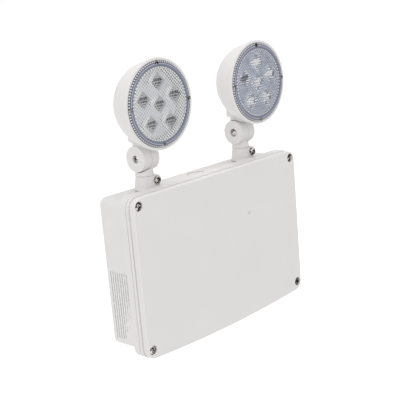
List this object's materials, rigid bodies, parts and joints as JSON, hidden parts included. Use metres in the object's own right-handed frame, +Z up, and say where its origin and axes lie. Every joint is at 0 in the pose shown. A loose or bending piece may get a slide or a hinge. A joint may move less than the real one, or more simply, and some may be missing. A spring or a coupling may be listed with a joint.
{
  "type": "emergency light",
  "caption": "Wall-mounted emergency light: a shallow gasketed battery housing with a flanged cover, and round LED lamp heads on swivel knuckles on top.",
  "frame": {"origin": "on the wall, at the middle of the rear housing and of its four wall screw holes", "axes": "+X to the right as seen from the front, +Y back into the wall, +Z up"},
  "size_m": [0.3256, 0.07, 0.3843],
  "materials": {
    "housing_plastic": "satin white moulding",
    "lamp_plastic": "smooth white moulding",
    "lens_clear": "clear, with a fine prism pattern behind the window",
    "optic_clear": "clear moulded optic",
    "label_white": "matt film",
    "stainless": "bright stainless",
    "zinc_steel": "zinc plated",
    "gasket_rubber": "soft foam rubber",
    "lamp_metal": "mill finish",
    "board_white": "white solder mask",
    "led_yellow": "phosphor",
    "black_plastic": "matt",
    "button_red": "gloss",
    "pilot_green": "gloss",
    "battery_grey": "fine texture",
    "board_green": "green solder mask",
    "relay_blue": "gloss",
    "capacitor_blue": "shrink sleeve",
    "terminal_green": "matt",
    "core_steel": "varnished laminations",
    "coil_copper": "taped winding",
    "wire_red": "insulation",
    "wire_black": "insulation",
    "cable_grey": "sheath",
    "wire_yellow": "insulation"
  },
  "bodies": {
    "housing": {"rear_housing": "housing_plastic", "front_cover": "housing_plastic", "cover_gasket": "gasket_rubber", "cover_screws": "stainless", "status_window": "lens_clear", "label_plate": "label_white", "conduit_plug": "housing_plastic", "base_gaskets": "gasket_rubber", "lock_nuts": "zinc_steel", "clamp_screws": "stainless", "clamp_nuts": "stainless", "left_swivel_base": "housing_plastic", "right_swivel_base": "housing_plastic", "button_bezel": "black_plastic", "button_switch": "black_plastic", "pilot_lens": "pilot_green", "battery": "battery_grey", "battery_terminals": "zinc_steel", "battery_strap": "zinc_steel", "strap_screws": "zinc_steel", "charger_board": "board_green", "board_screws": "zinc_steel", "board_relay": "relay_blue", "board_capacitors": "capacitor_blue", "board_heat_sink": "lamp_metal", "board_terminals": "terminal_green", "board_fuse": "zinc_steel", "transformer_core": "core_steel", "transformer_coil": "coil_copper", "transformer_screws": "zinc_steel", "battery_lead_red": "wire_red", "battery_lead_black": "wire_black", "lamp_leads": "cable_grey", "board_leads": "wire_yellow"},
    "left_stem": {"left_stem": "housing_plastic", "left_knuckle_nut": "stainless"},
    "left_lamp": {"left_knuckle_bolt": "stainless", "left_lamp_shell": "lamp_plastic", "left_lens_gasket": "gasket_rubber", "left_lens": "lens_clear", "left_lens_screws": "stainless", "left_led_plate": "lamp_metal", "left_led_board": "board_white", "left_led_chips": "led_yellow", "left_led_optics": "optic_clear", "left_lamp_lead": "cable_grey"},
    "right_stem": {"right_stem": "housing_plastic", "right_knuckle_nut": "stainless"},
    "right_lamp": {"right_knuckle_bolt": "stainless", "right_lamp_shell": "lamp_plastic", "right_lens_gasket": "gasket_rubber", "right_lens": "lens_clear", "right_lens_screws": "stainless", "right_led_plate": "lamp_metal", "right_led_board": "board_white", "right_led_chips": "led_yellow", "right_led_optics": "optic_clear", "right_lamp_lead": "cable_grey"},
    "test_button": {"test_button": "button_red"}
  },
  "joints": [
    {"name": "left_pan", "type": "hinge", "parent": "housing", "child": "left_stem", "pos_m": [-0.0965, -0.0251, 0.112], "axis": [0, 0, 1], "range_deg": [-50, 50]},
    {"name": "left_tilt", "type": "hinge", "parent": "left_stem", "child": "left_lamp", "pos_m": [-0.0965, -0.0251, 0.1422], "axis": [1, 0, 0], "range_deg": [-5, 50]},
    {"name": "right_pan", "type": "hinge", "parent": "housing", "child": "right_stem", "pos_m": [0.0965, -0.0251, 0.112], "axis": [0, 0, 1], "range_deg": [-50, 50]},
    {"name": "right_tilt", "type": "hinge", "parent": "right_stem", "child": "right_lamp", "pos_m": [0.0965, -0.0251, 0.1422], "axis": [1, 0, 0], "range_deg": [-5, 50]},
    {"name": "button_press", "type": "slide", "parent": "housing", "child": "test_button", "axis": [0, 0, 1], "range_m": [0, 0.0015], "stiffness_N_per_m": 400}
  ]
}
